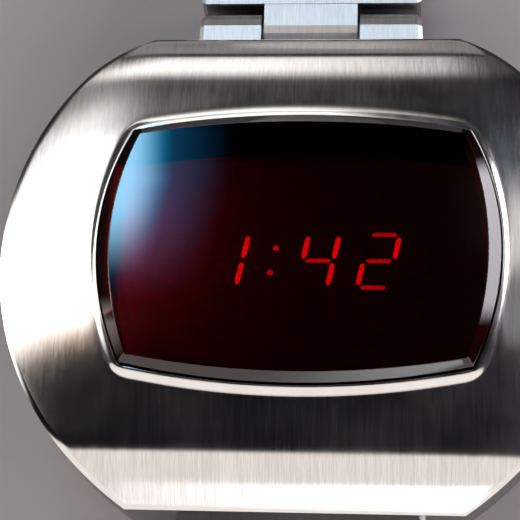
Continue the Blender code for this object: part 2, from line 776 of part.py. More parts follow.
def make_ladder(last_link):
    """The plate whose rungs the clasp hooks on, for setting the bracelet's length."""
    hinge = LINK_COUNT + 1
    half = half_width(hinge) - 1.2 * MM
    low = -LINK_THICKNESS / 2
    plate = bevelled_box((-half, LINK_CLEARANCE, low), (half, LADDER_LENGTH, low + 1.2 * MM), 0.2 * MM)
    ladder = add("clasp_ladder", plate, "brushed_steel", last_link, (0, LINK_PITCH, 0))
    rail = bevelled_box((-half, LINK_CLEARANCE, low), (half, 4 * MM, -low), 0.2 * MM)
    join(ladder, rail)
    join(ladder, knuckle(knuckle_width(hinge)))
    cut(ladder, bore(PIN_RADIUS, knuckle_width(hinge)))
    slots = [5.2 * MM + 2.6 * MM * i for i in range(4)]
    cut(ladder, merged(*[box((-4 * MM, y, -3 * MM), (4 * MM, y + 1.5 * MM, 3 * MM)) for y in slots]))


def make_clasp(last_link):
    """A tray with a hook for the ladder, and a lid that folds down over both."""
    hinge = LINK_COUNT + 1
    low = -LINK_THICKNESS / 2
    half = COVER_WIDTH / 2 - 0.8 * MM
    far = CLASP_LENGTH + 1.2 * MM
    floor = bevelled_box((-half, LINK_CLEARANCE, low), (half, far, low + 0.9 * MM), 0.15 * MM)
    tray = add("clasp_tray", floor, "brushed_steel", last_link, (0, LINK_PITCH, 0))
    join(tray, bevelled_box((-half, LINK_CLEARANCE, low), (half, 4.2 * MM, 1.5 * MM), 0.2 * MM))
    join(tray, knuckle(knuckle_width(hinge)))
    cut(tray, bore(PIN_RADIUS, knuckle_width(hinge)))
    hook = [(13, -0.9), (14, -0.9), (14, -0.35), (12.2, -0.1), (12.2, -0.4), (13, -0.5)]
    join(tray, side_prism([(y * MM, z * MM) for y, z in hook], 3 * MM))
    eye = (CLASP_LENGTH, 0.55 * MM)
    post = [(eye[0] - MM, low + 0.5 * MM), (eye[0] + MM, low + 0.5 * MM), *round_end(*eye, MM, 0, 180)]
    ears = []
    for side in (1, -1):
        ear = side_prism(post, 0.7 * MM)
        for vertex in ear.verts:
            vertex.co.x += side * (half - 0.7 * MM)
        ears.append(ear)
    join(tray, merged(*ears))
    join(tray, cylinder(0.5 * MM, (-half + MM, *eye), (half - MM, *eye), 12))
    make_cover(tray, eye, half)


def make_cover(tray, eye, tray_half):
    """The lid, drawn from its own hinge, with its free end towards the last link."""
    free = 4.7 * MM - eye[0]
    under = 0.1 * MM
    lug = 1.05 * MM
    outline = [(free, under), (-1.5 * MM, under), *round_end(0, 0, lug, 180, 450), (free, lug)]
    cover = add("clasp_cover", side_prism(outline, COVER_WIDTH / 2), "brushed_steel", tray, (0, *eye))
    wall = COVER_WIDTH / 2 - 0.45 * MM
    flanges = []
    for side in (1, -1):
        low = (min(side * wall, side * COVER_WIDTH / 2), free + 1.5 * MM, -1.7 * MM)
        high = (max(side * wall, side * COVER_WIDTH / 2), -3 * MM, 0.6 * MM)
        flanges.append(box(low, high))
    join(cover, merged(*flanges))
    inside = tray_half - 1.7 * MM
    notches = []
    for side in (1, -1):
        low = min(side * inside, side * COVER_WIDTH)
        high = max(side * inside, side * COVER_WIDTH)
        notches.append(box((low, -1.5 * MM, -3 * MM), (high, 3 * MM, 3 * MM)))
    cut(cover, merged(*notches))
    cut(cover, bore(0.5 * MM, COVER_WIDTH / 2))


clear_scene()
WATCH = collection("digital_wristwatch")
CUTTERS = collection("cutters")
make_materials()
make_case()
make_crystal()
make_back()
make_module()
make_display()
make_button()
make_ladder(make_strand(1, "12"))
make_clasp(make_strand(-1, "6"))
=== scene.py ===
import json
import math

import bmesh
import bpy
from mathutils import Matrix, Vector


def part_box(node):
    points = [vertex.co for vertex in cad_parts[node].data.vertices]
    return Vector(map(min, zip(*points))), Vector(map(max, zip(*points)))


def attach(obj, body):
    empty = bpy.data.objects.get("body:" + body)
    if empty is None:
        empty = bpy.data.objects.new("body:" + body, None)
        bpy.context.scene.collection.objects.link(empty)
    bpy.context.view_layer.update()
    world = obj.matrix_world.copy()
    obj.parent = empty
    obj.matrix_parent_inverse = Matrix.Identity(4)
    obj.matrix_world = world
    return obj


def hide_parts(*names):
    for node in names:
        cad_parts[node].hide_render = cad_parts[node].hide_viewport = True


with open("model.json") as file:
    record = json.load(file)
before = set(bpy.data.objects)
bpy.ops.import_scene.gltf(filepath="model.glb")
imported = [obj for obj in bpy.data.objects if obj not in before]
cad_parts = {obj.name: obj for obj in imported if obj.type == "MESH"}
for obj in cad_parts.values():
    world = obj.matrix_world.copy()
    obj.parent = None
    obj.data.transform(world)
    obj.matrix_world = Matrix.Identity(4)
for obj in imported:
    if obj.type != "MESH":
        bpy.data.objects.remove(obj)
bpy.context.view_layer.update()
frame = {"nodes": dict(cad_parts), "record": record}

MM = 0.001
HEAD = "watch_head"

# The case and the crystal, as in the CAD but with a finer lip and finer roundings
CASE_RADIUS = 20.6 * MM
CASE_END = 17.35 * MM  # the ends at 12 and 6 o'clock are flat
FRONT_HEIGHT = 12.4 * MM  # the front's highest point, beside the crystal
FRONT_RADIUS = 58 * MM  # the front is rolled about the X axis
END_FALL_FROM = 12.8 * MM
END_FALL = 60  # extra drop per metre squared beyond END_FALL_FROM
SIDE_FALL_FROM = 10 * MM
SIDE_FALL = 19.6
EDGE_WIDTH = 0.32 * MM  # polished edge between the front and the flank
EDGE_DROP = 0.17 * MM
FLANK_RIM = 0.5 * MM  # upright strip under the polished edge
FLANK_INSETS = ((0, 5.0), (0.25, 3.2), (0.9, 1.7), (1.8, 0.7), (2.6, 0.25))  # millimetres in, and height
FRONT_START = 0.02  # the first ring's share of the way from the lip to the polished edge
FRONT_RINGS = 26
CAVITY_RADIUS = 14.6 * MM
CAVITY_END = 11 * MM
CAVITY_TOP = 9 * MM
CAVITY_FLOOR = 2 * MM
LEDGE_TOP = 10 * MM
BACK_GAP = 0.2 * MM
SLOT_WIDTH = 18.2 * MM  # of the slots for the end links
SLOT_CEILING = 3.55 * MM
SLOT_WALL = 12.7 * MM
SLOT_REACH = 21 * MM  # past the case's end
COLLAR_BORE = (18.7 * MM, 23 * MM)  # from and to, along X
COLLAR_GAP = 0.1 * MM
FLANGE_PASSAGE = (15.9 * MM, 19 * MM)
FLANGE_GAP = 0.15 * MM
MODULE_RADIUS = 14.2 * MM
MODULE_END = 10.6 * MM
CRYSTAL_CORNER = (11.5 * MM, 8.36 * MM)
CRYSTAL_BULGE = (1.95 * MM, 1.2 * MM)  # of its sides, and of its top and bottom
CRYSTAL_RISE = 0.78 * MM
CRYSTAL_TOP_CORNER = (11.08 * MM, 7.94 * MM)  # of its top face, inside the sloping edge
CRYSTAL_TOP_BULGE = (1.5 * MM, 1.0 * MM)
CRYSTAL_EDGE_SLOPE = 0.75
CRYSTAL_BEVEL = 0.05 * MM
CRYSTAL_SHOULDER = 0.3  # bevels in from its side, where the sloping edge begins
CRYSTAL_TOP_ROUNDING = ((-1, 0.85), (-0.3, 0.3), (0.3, 0.04), (0.6, 0))  # bevels in, and down
CRYSTAL_TOP_RINGS = (1, 0.97, 0.9, 0.8, 0.7, 0.6, 0.5, 0.4, 0.3, 0.2, 0.1, 0.02)  # shares of the top's size
CRYSTAL_GAP = 0.1 * MM
LIP_PROFILE = (  # millimetres out from the pocket's edge, and above the front
    (0, 0.20),
    (0.02, 0.232),
    (0.05, 0.2457),
    (0.12, 0.2373),
    (0.2, 0.2165),
    (0.3, 0.1805),
    (0.4, 0.1405),
    (0.5, 0.1005),
    (0.58, 0.0717),
    (0.66, 0.050),
    (0.75, 0.0339),
    (0.85, 0.0219),
    (1.0, 0.0106),
    (1.2, 0.0036),
    (1.5, 0),
)
LIP_POLISH = 0.55  # how many millimetres out the lip is polished
LIP_SIDE_SHARE = 0.72  # the lip's width at the crystal's left and right, as a share of that elsewhere
LIP_ROUNDING = 1.8  # how far from its corners the lip is rounded, per millimetre out
LIP_ROUNDING_END = 0.75  # millimetres out, from where the rounding stays the same
SIDE_POINTS = 64
END_POINTS = 48

# Under the crystal
WINDOW_INSET = 1.4 * MM
BAFFLE_GAP = 0.03 * MM  # under the crystal
BAFFLE_THICKNESS = 0.05 * MM
BAFFLE_INSET = 0.1 * MM  # from the crystal's outline
BAFFLE_WALL_IN = 0.05 * MM  # inside the window's outline
BAFFLE_WALL_OUT = 0.02 * MM  # outside it
BAFFLE_FOOT = 0.02 * MM  # above the mask
SHADE_SHEET_EDGE = 6.75 * MM  # where the black sheet of painted shade under the crystal's 12 o'clock edge ends
SHADE_SHEET_BOW = 1.1 * MM
SHADE_SHEET_OVERHANG = 0.6 * MM  # past the crystal's corners
SHADE_SHEET_INSET = 0.12 * MM
SHADE_SHEET_LEVELS = (0.008 * MM, 0.02 * MM)  # of its two faces, above the baffle
SHADE_SHEET_POINTS = 60
MASK_INSET = 0.6 * MM  # from the window's outline, as is the ground's
TILE_THICKNESS = 0.3 * MM
GROUND_RISE = 0.05 * MM  # above the digits' tiles
GROUND_THICKNESS = 0.03 * MM
GROUND_INSET = 0.5 * MM

# The display ground's painted light: a glow from the left, fading out to the top and at the very left, where
# it leaves painted shade
GROUND_PAINTED_LIGHT_PLACE = (-13.5 * MM, 2 * MM, 8.2 * MM)
GROUND_PAINTED_LIGHT_REACH = 2.7 * MM  # over which it falls to 0.37 of its strength
GROUND_PAINTED_LIGHT_MOST = 3.6
GROUND_PAINTED_LIGHT_LEAST = 0.045
GROUND_PAINTED_SHADE_TOP = (6.9 * MM, 7.6 * MM)
GROUND_PAINTED_SHADE_LEFT = (-12.6 * MM, -11.7 * MM)

# Camera: 105 mm lens, close above the crystal, a little to the right and towards 6 o'clock
CAMERA_RIGHT = math.radians(3.35)
CAMERA_BELOW = math.radians(21.15)
CAMERA_ROLL = math.radians(1.57)
CAMERA_DISTANCE = 101.5 * MM
FRAME_WIDTH = 34.66 * MM  # the width that the camera sees at the crystal
AIM_LEFT = 2.5 * MM
AIM_DOWN = 1.15 * MM

FLOOR_RADIUS = 1.6


# Nodes


def add_node(tree, kind, inputs=None, **settings):
    made = tree.nodes.new(f"ShaderNode{kind}")
    for name, value in settings.items():
        setattr(made, name, value)
    for key, value in (inputs or {}).items():
        if isinstance(value, bpy.types.NodeSocket):
            tree.links.new(value, made.inputs[key])
        else:
            made.inputs[key].default_value = value
    return made


def maths(tree, operation, first, second=0.0):
    return add_node(tree, "Math", {0: first, 1: second}, operation=operation).outputs[0]


def ramp(tree, value, low, high, start=0.0, end=1.0):
    """value eased from start to end as it goes from low to high."""
    inputs = {"Value": value, "From Min": low, "From Max": high, "To Min": start, "To Max": end}
    return add_node(tree, "MapRange", inputs, interpolation_type="SMOOTHSTEP").outputs["Result"]


def noise(tree, place, scale, detail=3.0, roughness=0.55):
    inputs = {"Vector": place, "Scale": scale, "Detail": detail, "Roughness": roughness}
    return add_node(tree, "TexNoise", inputs).outputs["Fac"]


def stretched(tree, scale=(1, 1, 1)):
    """Object coordinates, multiplied along each axis."""
    place = add_node(tree, "TexCoord").outputs["Object"]
    return add_node(tree, "Mapping", {"Vector": place, "Scale": scale}).outputs["Vector"]


def mixed(tree, share, first, second):
    inputs = {0: share, 6: first, 7: second}
    return add_node(tree, "Mix", inputs, data_type="RGBA").outputs[2]


def tinted(colour, factor):
    return tuple(min(1, c * factor) for c in colour) + (1,)


def bump(tree, height, distance, strength):
    inputs = {"Height": height, "Distance": distance, "Strength": strength}
    return add_node(tree, "Bump", inputs).outputs["Normal"]


def new_material(name):
    made = bpy.data.materials.new(name)
    made.use_nodes = True
    return made, made.node_tree, made.node_tree.nodes["Principled BSDF"]


def feed(tree, shader, **inputs):
    """Sets or links the shader's sockets, named in lower case with underscores."""
    for name, value in inputs.items():
        socket = next(s for s in shader.inputs if s.name.lower().replace(" ", "_") == name)
        if isinstance(value, bpy.types.NodeSocket):
            tree.links.new(value, socket)
        else:
            socket.default_value = value


# Materials


def brushed_steel(name, along, colour=(0.60, 0.585, 0.575), rough=0.168):
    """Steel with strokes along one axis, "X" or "Y", worn a little smoother in places."""
    made, tree, shader = new_material(name)
    fine = 13000
    coarse = 600
    upright = 40
    band = 0.16
    scale = (fine, coarse, upright) if along == "Y" else (coarse, fine, upright)
    strokes = noise(tree, stretched(tree, scale), 1, 4, 0.65)
    bands = noise(tree, stretched(tree, tuple(s * band for s in scale)), 1, 2)
    patches = noise(tree, stretched(tree), 180, 3)
    strokes_share = maths(tree, "MULTIPLY", strokes, 0.75)
    grain = maths(tree, "ADD", strokes_share, maths(tree, "MULTIPLY", bands, 0.25))
    shade = ramp(tree, grain, 0.33, 0.67)
    base = mixed(tree, shade, tinted(colour, 0.87), tinted(colour, 1.09))
    wear = ramp(tree, patches, 0.3, 0.7, -0.02, 0.02)
    roughness = maths(tree, "ADD", ramp(tree, grain, 0.3, 0.7, rough - 0.015, rough + 0.015), wear)
    direction = {0: 1.0, 1: 0.0} if along == "Y" else {0: 0.0, 1: 1.0}
    across = add_node(tree, "CombineXYZ", direction)
    feed(
        tree,
        shader,
        base_color=base,
        metallic=1.0,
        roughness=roughness,
        anisotropic=1.0,
        tangent=across.outputs[0],
        normal=bump(tree, strokes, 0.003 * MM, 0.5),
    )
    return made


def polished_steel(name, colour=(0.70, 0.69, 0.68), rough=0.07):
    """Mirror steel with faint hairlines and smudges."""
    made, tree, shader = new_material(name)
    smudges = noise(tree, stretched(tree), 350, 4)
    hairs = noise(tree, stretched(tree, (2500, 300, 900)), 1, 3)
    roughness = ramp(tree, smudges, 0.35, 0.7, rough, rough + 0.07)
    base = mixed(tree, ramp(tree, smudges, 0.3, 0.7), tinted(colour, 0.93), tinted(colour, 1))
    relief = bump(tree, hairs, 0.001 * MM, 0.3)
    feed(tree, shader, base_color=base, metallic=1.0, roughness=roughness, normal=relief)
    return made


def crystal_glass(name):
    made, tree, shader = new_material(name)
    smudges = noise(tree, stretched(tree), 220, 4)
    tint = mixed(tree, ramp(tree, smudges, 0.3, 0.7), (0.075, 0.0012, 0.0016, 1), (0.085, 0.0016, 0.002, 1))
    roughness = ramp(tree, smudges, 0.45, 0.75, 0.0, 0.03)
    feed(tree, shader, base_color=tint, roughness=roughness, ior=1.6, transmission_weight=1.0)
    return made


def plastic(name, colour, rough=0.45, grain=900, depth=0.004 * MM):
    made, tree, shader = new_material(name)
    texture = noise(tree, stretched(tree), grain, 4)
    base = mixed(tree, ramp(tree, texture, 0.3, 0.7), tinted(colour, 0.8), tinted(colour, 1.15))
    roughness = ramp(tree, texture, 0.3, 0.7, rough - 0.06, rough + 0.06)
    feed(tree, shader, base_color=base, roughness=roughness, normal=bump(tree, texture, depth, 0.4))
    return made


def glowing(name, strength):
    """A lit bar: brighter grains in a red body."""
    made, tree, shader = new_material(name)
    grains = noise(tree, stretched(tree), 4200, 2)
    glow = ramp(tree, grains, 0.3, 0.7, strength * 0.85, strength * 1.12)
    body = (0.05, 0.002, 0.002, 1)
    light = (1, 0.08, 0.1, 1)
    feed(tree, shader, base_color=body, roughness=0.4, emission_color=light, emission_strength=glow)
    return made


def display_ground(name, share=1.0):
    """Dark red, with a faint painted glow from the left, and painted shade, black, under the 12 o'clock
    edge.
    """
    made, tree, shader = new_material(name)
    texture = noise(tree, stretched(tree), 900, 3)
    base = mixed(tree, ramp(tree, texture, 0.3, 0.7), (0.016, 0.003, 0.003, 1), (0.022, 0.004, 0.004, 1))
    place = stretched(tree)
    x, y, _ = add_node(tree, "SeparateXYZ", {0: place}).outputs
    # Painted light: an emission that falls off with distance from a point at the left
    apart = add_node(tree, "VectorMath", {0: place, 1: GROUND_PAINTED_LIGHT_PLACE}, operation="DISTANCE")
    near = maths(tree, "EXPONENT", maths(tree, "MULTIPLY", apart.outputs["Value"], -1 / GROUND_PAINTED_LIGHT_REACH))
    glow = maths(tree, "ADD", maths(tree, "MULTIPLY", near, GROUND_PAINTED_LIGHT_MOST), GROUND_PAINTED_LIGHT_LEAST)
    # Painted shade: the glow fades out towards 12 o'clock and at the very left
    glow = maths(tree, "MULTIPLY", glow, ramp(tree, y, *GROUND_PAINTED_SHADE_TOP, share, 0.0))
    glow = maths(tree, "MULTIPLY", glow, ramp(tree, x, *GROUND_PAINTED_SHADE_LEFT))
    glow = maths(tree, "MULTIPLY", glow, ramp(tree, texture, 0.2, 0.8, 0.85, 1.15))
    light = (1, 0.02, 0.02, 1)
    feed(tree, shader, base_color=base, roughness=0.6, emission_color=light, emission_strength=glow)
    return made


BRUSHED = brushed_steel("steel_brushed", "Y")
LINK_STEEL = brushed_steel("steel_link_brushed", "Y", rough=0.34)
POLISHED = polished_steel("steel_polished")
LIP_STEEL = polished_steel("steel_lip", rough=0.13)
# A darker copy of the polished steel: painted shade on the case's flank
FLANK_STEEL_PAINTED_SHADE = polished_steel("steel_flank", (0.26, 0.265, 0.28), 0.16)
GLASS = crystal_glass("crystal_dark_red")
BLACK = plastic("plastic_black", (0.006, 0.006, 0.007))
CERAMIC = plastic("ceramic_dark", (0.05, 0.014, 0.012), 0.35)
RUBBER = plastic("rubber_black", (0.012, 0.012, 0.012), 0.75, 1500)
BOARD = plastic("board_green_lacquer", (0.02, 0.16, 0.07), 0.3)
GOLD = polished_steel("gold_plate", (0.83, 0.61, 0.25), 0.2)
CLEAR = plastic("glass_pale", (0.5, 0.6, 0.55), 0.15)
MAGNET = brushed_steel("magnet_nickel", "X", (0.5, 0.48, 0.45), 0.3)
LED_BRIGHT = glowing("led_lit", 8.4)
LED_DIM = glowing("led_lit_dim", 5.0)
LED_DOT = glowing("led_lit_dot", 5.5)
# These two carry painted light from the left and painted shade under the 12 o'clock edge
UNLIT = display_ground("led_unlit", 0.8)
GROUND = display_ground("display_ground_red")

NODE_MATERIALS = {
    "brushed_steel": LINK_STEEL,
    "polished_steel": POLISHED,
    "crystal_red": GLASS,
    "black_plastic": BLACK,
    "dark_ceramic": CERAMIC,
    "led_red": LED_DIM,
    "board_green": BOARD,
    "black_rubber": RUBBER,
    "gold_plate": GOLD,
    "clear_glass": CLEAR,
    "magnet_metal": MAGNET,
}


# Outlines in (x, y), anticlockwise, as in the CAD but with more points


def spread(first, last, count):
    return [first + (last - first) * i / (count - 1) for i in range(count)]


def both_halves(half):
    return half + [(-x, -y) for x, y in half]


def truncated_circle(radius, end):
    """A circle cut off flat at y = end and y = -end."""
    angle = math.asin(end / radius)
    corner = radius * math.cos(angle)
    side = [(radius * math.cos(a), radius * math.sin(a)) for a in spread(-angle, angle, SIDE_POINTS + 1)]
    top = [(x, end) for x in spread(corner, -corner, END_POINTS + 1)]
    return both_halves(side[:-1] + top[:-1])


def bulged_edge(start, end, bulge, count):
    """An arc from start to just before end, bulging to the right of its way."""
    half_chord = math.dist(start, end) / 2
    radius = (half_chord**2 + bulge**2) / (2 * bulge)
    angle = math.asin(half_chord / radius)
    along = Vector((end[0] - start[0], end[1] - start[1])) / (2 * half_chord)
    outward = Vector((along.y, -along.x))
    middle = (Vector(start) + Vector(end)) / 2
    points = []
    for a in spread(-angle, angle, count + 1)[:-1]:
        point = middle + along * radius * math.sin(a) + outward * (radius * math.cos(a) - radius + bulge)
        points.append((point.x, point.y))
    return points


def barrel(offset, corner=CRYSTAL_CORNER, bulge=CRYSTAL_BULGE, sideways=1.0):
    """The crystal's outline grown by offset, and by sideways times as much along X."""
    x = corner[0] + offset * sideways
    y = corner[1] + offset
    side = bulged_edge((x, -y), (x, y), bulge[0], SIDE_POINTS)
    top = bulged_edge((x, y), (-x, y), bulge[1], END_POINTS)
    return both_halves(side + top)


def walked(outline, corner, way, distance):
    """The point a distance along the outline from one of its points, forwards or backwards."""
    here = Vector(outline[corner])
    number = corner
    while True:
        number = (number + way) % len(outline)
        step = Vector(outline[number]) - here
        if step.length >= distance:
            return here + step * (distance / step.length)
        distance -= step.length
        here = Vector(outline[number])


def rounded(outline, reach):
    """A barrel outline with its four corners rounded, from reach before each corner to reach after it."""
    if not reach:
        return outline
    result = list(outline)
    half = SIDE_POINTS + END_POINTS
    for corner in (0, SIDE_POINTS, half, half + SIDE_POINTS):
        peak = Vector(outline[corner])
        before = walked(outline, corner, -1, reach)
        after = walked(outline, corner, 1, reach)
        for way in (1, -1):
            number = corner
            gone = 0.0
            while gone < reach:
                t = 0.5 + 0.5 * way * gone / reach
                point = before * (1 - t) ** 2 + peak * 2 * t * (1 - t) + after * t * t
                result[number] = (point.x, point.y)
                following = (number + way) % len(outline)
                gone += math.dist(outline[number], outline[following])
                number = following
    return result


def front(x, y):
    """The height of the case's front."""
    end_fall = END_FALL * max(0, abs(y) - END_FALL_FROM) ** 2
    side_fall = SIDE_FALL * max(0, abs(x) - SIDE_FALL_FROM) ** 2
    return FRONT_HEIGHT - y * y / (2 * FRONT_RADIUS) - end_fall - side_fall


def level(outline, height):
    return [(x, y, height) for x, y in outline]


def on_front(outline, rise):
    return [(x, y, front(x, y) + rise) for x, y in outline]


def between(inner, outer, share):
    return [(a + (c - a) * share, b + (d - b) * share) for (a, b), (c, d) in zip(inner, outer)]


# Pieces


def add_piece(name, shape, materials, body, smooth=30):
    """A bmesh as a piece that rides on a body. Its faces' material numbers count into materials."""
    mesh = bpy.data.meshes.new(name)
    shape.to_mesh(mesh)
    shape.free()
    for material in materials:
        mesh.materials.append(material)
    mesh.shade_smooth()
    mesh.set_sharp_from_angle(angle=math.radians(smooth))
    piece = bpy.data.objects.new(name, mesh)
    bpy.context.scene.collection.objects.link(piece)
    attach(piece, body)
    return piece


def loft(rings, is_tube=False, finishes=None):
    """A skin over rings. finishes gives a material number for each gap between rings."""
    shape = bmesh.new()
    loops = [[shape.verts.new(point) for point in ring] for ring in rings]
    pairs = list(zip(loops, loops[1:]))
    if is_tube:
        pairs.append((loops[-1], loops[0]))
    for number, (lower, upper) in enumerate(pairs):
        for i in range(len(lower)):
            face = shape.faces.new((lower[i - 1], lower[i], upper[i], upper[i - 1]))
            face.material_index = finishes[number] if finishes else 0
    if not is_tube:
        shape.faces.new(loops[0])
        shape.faces.new(loops[-1])
    bmesh.ops.recalc_face_normals(shape, faces=shape.faces)
    return shape


def carve(piece, shape):
    """Cuts a shape out of a piece, leaving no modifier behind."""
    mesh = bpy.data.meshes.new("cutter")
    shape.to_mesh(mesh)
    shape.free()
    cutter = bpy.data.objects.new("cutter", mesh)
    bpy.context.scene.collection.objects.link(cutter)
    cut = piece.modifiers.new("cut", "BOOLEAN")
    cut.object = cutter
    cut.solver = "EXACT"
    graph = bpy.context.evaluated_depsgraph_get()
    result = bpy.data.meshes.new_from_object(piece.evaluated_get(graph))
    piece.modifiers.clear()
    piece.data = result
    bpy.data.objects.remove(cutter)
    piece.data.shade_smooth()
    piece.data.set_sharp_from_angle(angle=math.radians(30))


def box(low, high):
    shape = bmesh.new()
    size = [b - a for a, b in zip(low, high)]
    middle = [(a + b) / 2 for a, b in zip(low, high)]
    bmesh.ops.create_cube(shape, size=1, matrix=Matrix.Translation(middle) @ Matrix.Diagonal((*size, 1)))
    return shape


def cylinder(radius, low, high, sides=64):
    """A cylinder along X."""
    shape = bmesh.new()
    length = (Vector(high) - Vector(low)).length
    turned = Matrix.Rotation(math.pi / 2, 4, "Y")
    middle = Matrix.Translation((Vector(low) + Vector(high)) / 2)
    bmesh.ops.create_cone(
        shape,
        cap_ends=True,
        segments=sides,
        radius1=radius,
        radius2=radius,
        depth=length,
        matrix=middle @ turned,
    )
    return shape


# The case's material numbers
FRONT, LIP, BRIGHT, FLANK, INSIDE_PAINTED_SHADE = 0, 1, 2, 3, 4


def make_case():
    """The case with fine rings: polished lip, brushed front, polished edge, a polished flank darkened as
    painted shade, and a black inside as painted shade.
    """
    rings = []
    finishes = []

    def ring(points, finish):
        rings.append(points)
        finishes.append(finish)

    for out, rise in LIP_PROFILE:
        offset = CRYSTAL_GAP + out * MM
        sideways = (CRYSTAL_GAP + out * LIP_SIDE_SHARE * MM) / offset
        reach = LIP_ROUNDING * min(out, LIP_ROUNDING_END) * MM
        foot = rounded(barrel(offset, sideways=sideways), reach)
        ring(on_front(foot, rise * MM), LIP if out < LIP_POLISH else FRONT)
    lip_in = barrel(CRYSTAL_GAP)
    edge = truncated_circle(CASE_RADIUS - EDGE_WIDTH, CASE_END - EDGE_WIDTH)
    for share in spread(FRONT_START, 1, FRONT_RINGS):
        ring(on_front(between(foot, edge, share), 0), FRONT)
    finishes[-1] = BRIGHT
    outside = truncated_circle(CASE_RADIUS, CASE_END)
    lower = [(x, y, z - EDGE_DROP) for (x, y), (_, _, z) in zip(outside, rings[-1])]
    ring(lower, FLANK)
    ring([(x, y, z - FLANK_RIM) for x, y, z in lower], FLANK)
    for inset, height in FLANK_INSETS:
        ring(level(truncated_circle(CASE_RADIUS - inset * MM, CASE_END - inset * MM), height * MM), FLANK)
    _, back_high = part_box("case_back")
    rebate = truncated_circle(back_high.x + BACK_GAP, back_high.y + BACK_GAP)
    window = barrel(-WINDOW_INSET)
    cavity = truncated_circle(CAVITY_RADIUS, CAVITY_END)
    # The inside faces take black: painted shade on the steel cavity, rebate and ledge
    ring(level(rebate, FLANK_INSETS[-1][1] * MM), INSIDE_PAINTED_SHADE)
    ring(level(rebate, CAVITY_FLOOR), INSIDE_PAINTED_SHADE)
    ring(level(cavity, CAVITY_FLOOR), INSIDE_PAINTED_SHADE)
    ring(level(cavity, CAVITY_TOP), INSIDE_PAINTED_SHADE)
    ring(level(window, CAVITY_TOP), INSIDE_PAINTED_SHADE)
    ring(level(window, LEDGE_TOP), INSIDE_PAINTED_SHADE)
    ring(level(lip_in, LEDGE_TOP), INSIDE_PAINTED_SHADE)
    materials = [BRUSHED, LIP_STEEL, POLISHED, FLANK_STEEL_PAINTED_SHADE, BLACK]
    return add_piece("case_shell", loft(rings, True, finishes), materials, HEAD)


def carve_case(case):
    """The slots for the end links, the collar's bore and the passage for the button's flange."""
    half = SLOT_WIDTH / 2
    for side in (1, -1):
        near = side * SLOT_WALL
        far = side * SLOT_REACH
        carve(case, box((-half, min(near, far), -MM), (half, max(near, far), SLOT_CEILING)))
    collar_low, collar_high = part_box("button_collar")
    height = (collar_low.z + collar_high.z) / 2
    button_low, button_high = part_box("command_button")
    bore = (collar_high.z - collar_low.z) / 2 + COLLAR_GAP
    passage = (button_high.z - button_low.z) / 2 + FLANGE_GAP
    for radius, (start, end) in ((bore, COLLAR_BORE), (passage, FLANGE_PASSAGE)):
        carve(case, cylinder(radius, (start, 0, height), (end, 0, height)))


def make_crystal():
    """The crystal, with its sloping edge and a top that is rolled as the front is."""
    low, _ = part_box("crystal")
    top = FRONT_HEIGHT + CRYSTAL_RISE
    bevel = CRYSTAL_BEVEL

    def domed(inset, drop=0.0, share=1.0):
        points = barrel(-inset, CRYSTAL_TOP_CORNER, CRYSTAL_TOP_BULGE)
        shrunk = [(x * share, y * share) for x, y in points]
        return [(x, y, top - y * y / (2 * FRONT_RADIUS) - drop) for x, y in shrunk]

    def sloping(outline):
        """The outline at the foot of the sloping edge, by its distance from the top face's outline."""
        foot = []
        for (x, y), (inner_x, inner_y, height) in zip(outline, domed(0)):
            run = max(abs(x - inner_x), abs(y - inner_y))
            foot.append((x, y, height - CRYSTAL_EDGE_SLOPE * run))
        return foot

    side = barrel(0)
    rings = [level(barrel(-bevel), low.z), level(side, low.z + bevel)]
    rings.append([(x, y, z - bevel) for x, y, z in sloping(side)])
    rings.append(sloping(barrel(-CRYSTAL_SHOULDER * bevel)))
    for inset, drop in CRYSTAL_TOP_ROUNDING:
        rings.append(domed(inset * bevel, drop * bevel))
    for share in CRYSTAL_TOP_RINGS:
        rings.append(domed(bevel, share=share))
    crystal = add_piece("crystal_shell", loft(rings), [GLASS], HEAD, smooth=25)
    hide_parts("crystal")


# Under the crystal


def make_baffle(under):
    """The dark red walls behind the crystal, up to a height just under it."""
    _, mask_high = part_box("display_mask")
    outer = barrel(-BAFFLE_INSET)
    inner = barrel(-WINDOW_INSET - BAFFLE_WALL_IN)
    foot = mask_high.z + BAFFLE_FOOT
    out_lower = barrel(-WINDOW_INSET + BAFFLE_WALL_OUT)
    rings = [level(outer, under), level(inner, under), level(inner, foot), level(out_lower, foot)]
    rings += [level(out_lower, under - BAFFLE_THICKNESS), level(outer, under - BAFFLE_THICKNESS)]
    add_piece("display_baffle", loft(rings, True), [GROUND], HEAD)


def make_mask():
    """The display mask, with a finer opening than the CAD's."""
    low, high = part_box("display_mask")
    outer = truncated_circle(MODULE_RADIUS, MODULE_END)
    inner = barrel(-WINDOW_INSET - MASK_INSET)
    rings = [level(outer, low.z), level(outer, high.z), level(inner, high.z), level(inner, low.z)]
    ring = add_piece("display_mask_ring", loft(rings, True), [GROUND], HEAD)
    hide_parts("display_mask")


